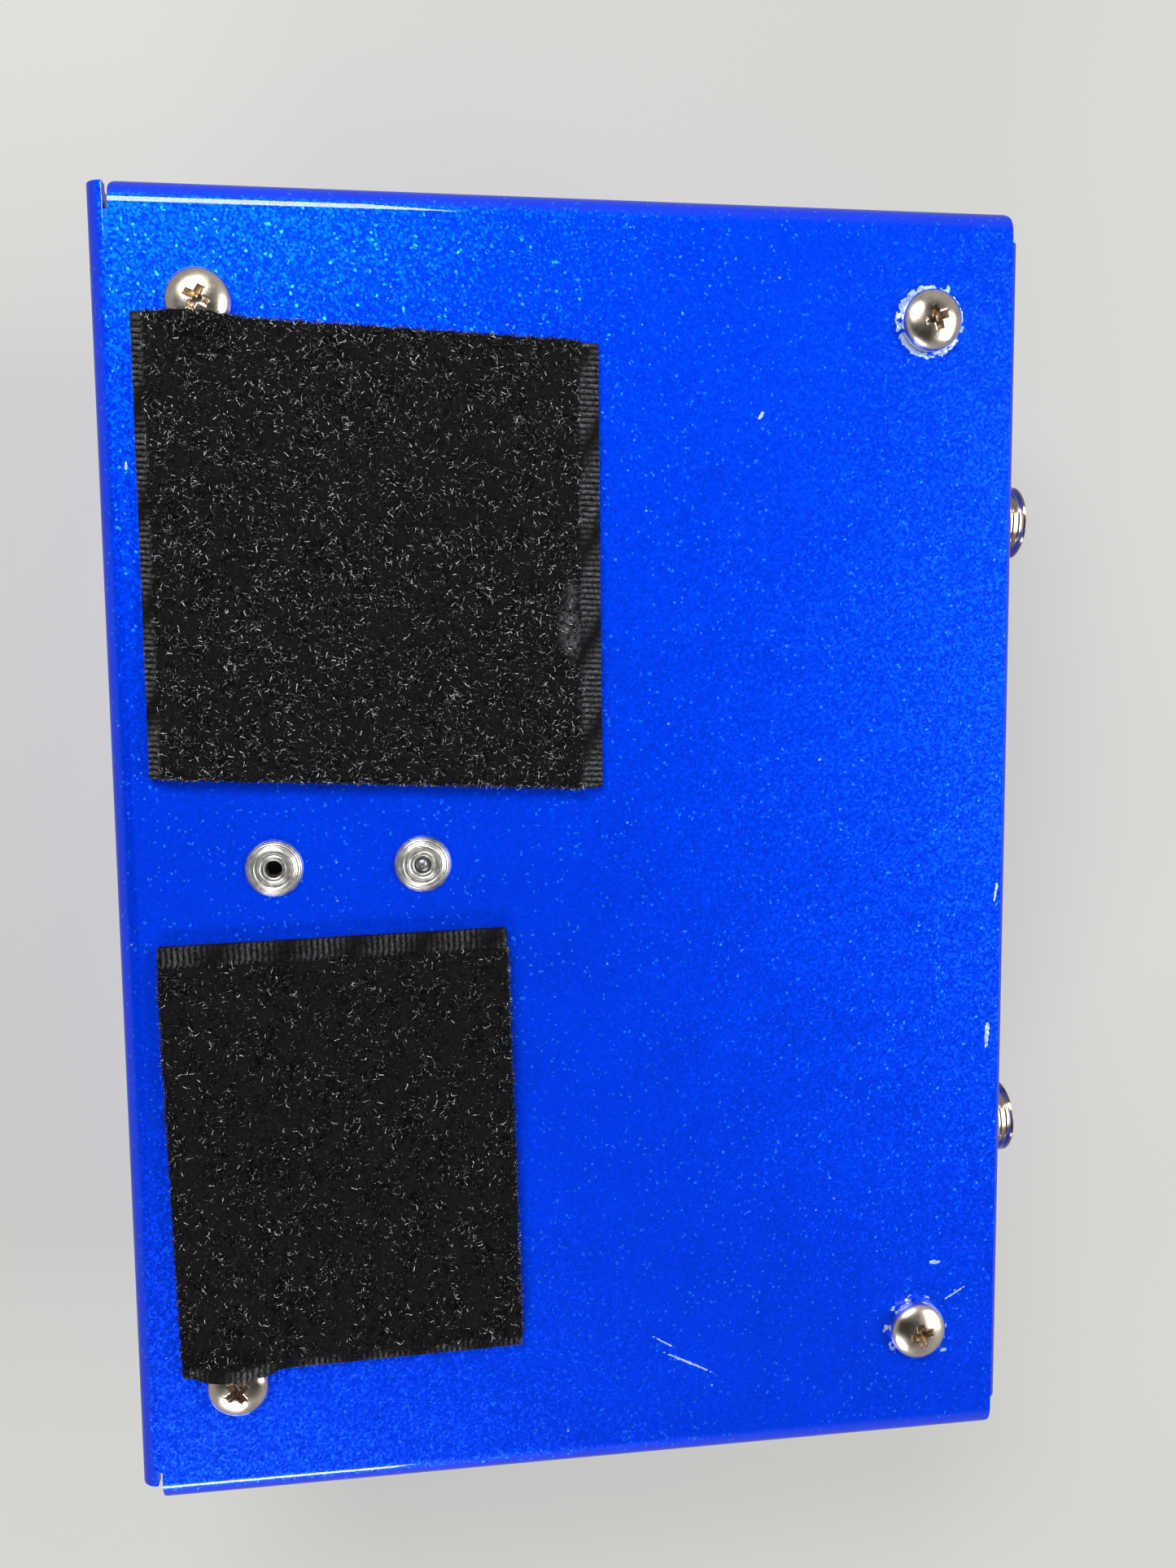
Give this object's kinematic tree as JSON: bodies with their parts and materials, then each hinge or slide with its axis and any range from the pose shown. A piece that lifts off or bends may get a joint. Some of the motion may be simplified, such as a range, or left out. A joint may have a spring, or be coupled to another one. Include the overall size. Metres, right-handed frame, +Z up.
{
  "type": "guitar effects pedal",
  "caption": "Wedge-shaped effects pedal in a folded steel case with knobs, footswitches, lever switches, rear sockets, and loop tape pads under the base.",
  "frame": {"origin": "on the surface that the pedal stands on, below the middle of its box", "axes": "+X to the player's right, +Y to the rear wall with the sockets, +Z up out of the control panel's side"},
  "size_m": [0.1516, 0.1126, 0.0581],
  "materials": {
    "blue_enamel": "high-gloss metallic blue powder coat under a clear coat, with fine sparkle",
    "nickel_screws": "bright nickel-plated pan heads",
    "zinc_steel": "zinc-plated steel",
    "loop_tape": "black woven loop tape with a napped pile and bound edges",
    "rivet_aluminium": "satin aluminium with turned rings",
    "spring_steel": "bright spring steel strip",
    "battery_jacket": "printed steel can, plain dark grey",
    "brass": "tinned brass",
    "black_plastic": "moulded black plastic",
    "lead_insulation": "coloured insulation on stranded wire",
    "board_laminate": "green glass-fibre laminate",
    "capacitor_film": "shrink-wrapped and dipped capacitors",
    "resistor_lacquer": "lacquered resistors",
    "nickel": "nickel-plated brass and steel hardware",
    "chrome": "polished chrome",
    "blue_plastic": "moulded blue switch body",
    "toggle_body": "moulded red switch body with a metal bushing",
    "red_lens": "clear red moulded lamp",
    "knob_plastic": "black moulded knob with a white pointer line"
  },
  "bodies": {
    "case": {"base_plate": "blue_enamel", "top_cover": "blue_enamel", "base_screws": "nickel_screws", "clinch_nuts": "zinc_steel", "pad_right": "loop_tape", "pad_left": "loop_tape", "clip_rivets": "rivet_aluminium", "rivet_mandrel": "zinc_steel", "battery_clip": "spring_steel", "battery": "battery_jacket", "battery_terminals": "brass", "battery_snap": "black_plastic", "battery_leads": "lead_insulation", "circuit_board": "board_laminate", "board_chips": "black_plastic", "board_capacitors": "capacitor_film", "board_resistors": "resistor_lacquer", "pot_1": "zinc_steel", "pot_2": "zinc_steel", "pot_3": "zinc_steel", "pot_4": "zinc_steel", "pot_nuts": "nickel", "pot_washers": "nickel", "footswitch_left": "blue_plastic", "footswitch_right": "blue_plastic", "switch_bushing_left": "nickel", "switch_bushing_right": "nickel", "switch_lugs": "brass", "switch_nuts": "nickel", "switch_washers": "nickel", "switch_leads": "lead_insulation", "toggle_left": "toggle_body", "toggle_right": "toggle_body", "toggle_nuts": "nickel", "led_left": "red_lens", "led_right": "red_lens", "led_bezels": "chrome", "led_legs": "zinc_steel", "jack_left": "black_plastic", "jack_right": "black_plastic", "jack_bushing_left": "nickel", "jack_bushing_right": "nickel", "jack_nuts": "nickel", "jack_washers": "nickel", "jack_leads": "lead_insulation", "dc_inlet": "black_plastic", "dc_pin": "nickel", "dc_nut": "black_plastic"},
    "control_1": {"shaft_1": "zinc_steel", "knob_1": "knob_plastic"},
    "control_2": {"shaft_2": "zinc_steel", "knob_2": "knob_plastic"},
    "control_3": {"shaft_3": "zinc_steel", "knob_3": "knob_plastic"},
    "control_4": {"shaft_4": "zinc_steel", "knob_4": "knob_plastic"},
    "foot_button_left": {"switch_button_left": "chrome"},
    "toggle_lever_left": {"lever_left": "chrome"},
    "foot_button_right": {"switch_button_right": "chrome"},
    "toggle_lever_right": {"lever_right": "chrome"}
  },
  "joints": [
    {"name": "knob_1_turn", "type": "hinge", "parent": "case", "child": "control_1", "pos_m": [-0.0521, 0.0219, 0.0418], "axis": [0, -0.1566, 0.9877], "range_deg": [-150, 150]},
    {"name": "knob_2_turn", "type": "hinge", "parent": "case", "child": "control_2", "pos_m": [-0.0169, 0.0219, 0.0418], "axis": [0, -0.1566, 0.9877], "range_deg": [-150, 150]},
    {"name": "knob_3_turn", "type": "hinge", "parent": "case", "child": "control_3", "pos_m": [0.0183, 0.0219, 0.0418], "axis": [0, -0.1566, 0.9877], "range_deg": [-150, 150]},
    {"name": "knob_4_turn", "type": "hinge", "parent": "case", "child": "control_4", "pos_m": [0.0535, 0.0219, 0.0418], "axis": [0, -0.1566, 0.9877], "range_deg": [-150, 150]},
    {"name": "footswitch_left_press", "type": "slide", "parent": "case", "child": "foot_button_left", "axis": [0, 0.1566, -0.9877], "range_m": [0, 0.0026], "stiffness_N_per_m": 1500, "springref_m": -0.005},
    {"name": "footswitch_right_press", "type": "slide", "parent": "case", "child": "foot_button_right", "axis": [0, 0.1566, -0.9877], "range_m": [0, 0.0026], "stiffness_N_per_m": 1500, "springref_m": -0.005},
    {"name": "toggle_left_tilt", "type": "hinge", "parent": "case", "child": "toggle_lever_left", "pos_m": [-0.0173, -0.00241, 0.03997], "axis": [1, 0, 0], "range_deg": [-12, 12]},
    {"name": "toggle_right_tilt", "type": "hinge", "parent": "case", "child": "toggle_lever_right", "pos_m": [0.0187, -0.00241, 0.03997], "axis": [1, 0, 0], "range_deg": [-12, 12]}
  ]
}
